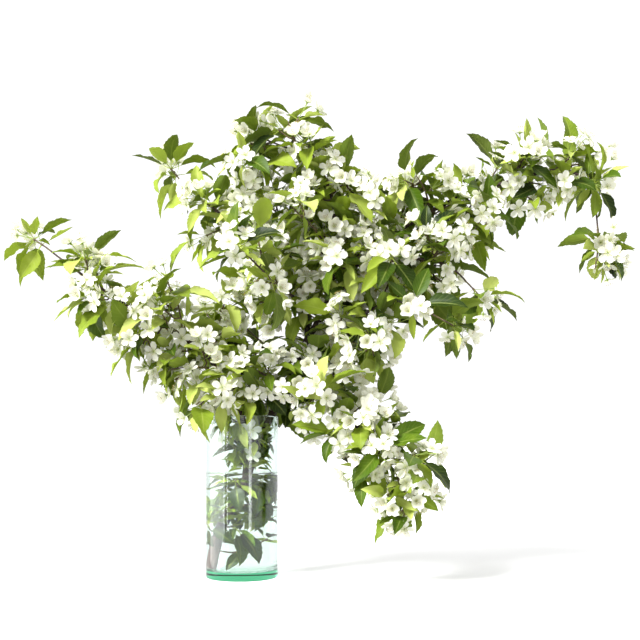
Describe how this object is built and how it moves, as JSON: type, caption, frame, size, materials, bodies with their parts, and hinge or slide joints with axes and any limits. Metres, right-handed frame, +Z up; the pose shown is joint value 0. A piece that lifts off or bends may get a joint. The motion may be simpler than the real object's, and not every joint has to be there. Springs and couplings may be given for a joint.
{
  "type": "apple blossom branch in a glass cylinder of water",
  "caption": "Forked, leafy branch in full white blossom, standing in a straight clear glass cylinder part filled with water.",
  "frame": {"origin": "centre of the glass cylinder's foot, on the surface it stands on", "axes": "+Z up, +X across the widest spread towards the longer, hanging limb, +Y away from the side seen first"},
  "size_m": [1.0385, 0.4533, 0.781],
  "materials": {
    "glass": "polished",
    "water": "polished",
    "wood": "matte",
    "foliage": "satin"
  },
  "bodies": {
    "root": {"glass_cylinder": "glass", "water": "water", "branch_wood": "wood", "spray_glass_1": "foliage", "spray_glass_2": "foliage", "spray_glass_3": "foliage", "spray_glass_4": "foliage", "spray_left_01": "foliage", "spray_left_02": "foliage", "spray_left_03": "foliage", "spray_left_04": "foliage", "spray_left_05": "foliage", "spray_left_06": "foliage", "spray_left_07": "foliage", "spray_left_08": "foliage", "spray_left_09": "foliage", "spray_main_01": "foliage", "spray_main_02": "foliage", "spray_up_01": "foliage", "spray_up_02": "foliage", "spray_up_03": "foliage", "spray_up_04": "foliage", "spray_up_05": "foliage", "spray_up_06": "foliage", "spray_top_01": "foliage", "spray_top_02": "foliage", "spray_top_03": "foliage", "spray_top_04": "foliage", "spray_top_05": "foliage", "spray_top_06": "foliage", "spray_right_01": "foliage", "spray_right_02": "foliage", "spray_right_03": "foliage", "spray_right_04": "foliage", "spray_right_05": "foliage", "spray_right_06": "foliage", "spray_right_07": "foliage", "spray_right_08": "foliage", "spray_right_09": "foliage", "spray_right_10": "foliage", "spray_right_11": "foliage", "spray_belly_01": "foliage", "spray_belly_02": "foliage", "spray_belly_03": "foliage", "spray_belly_04": "foliage", "spray_mid_01": "foliage", "spray_mid_02": "foliage", "spray_mid_03": "foliage", "spray_mid_04": "foliage", "spray_low_01": "foliage", "spray_low_02": "foliage", "spray_low_03": "foliage", "spray_low_04": "foliage", "spray_low_05": "foliage", "spray_inner_01": "foliage", "spray_inner_02": "foliage", "spray_back_01": "foliage", "spray_back_02": "foliage", "spray_front_01": "foliage", "spray_front_02": "foliage"}
  },
  "joints": []
}
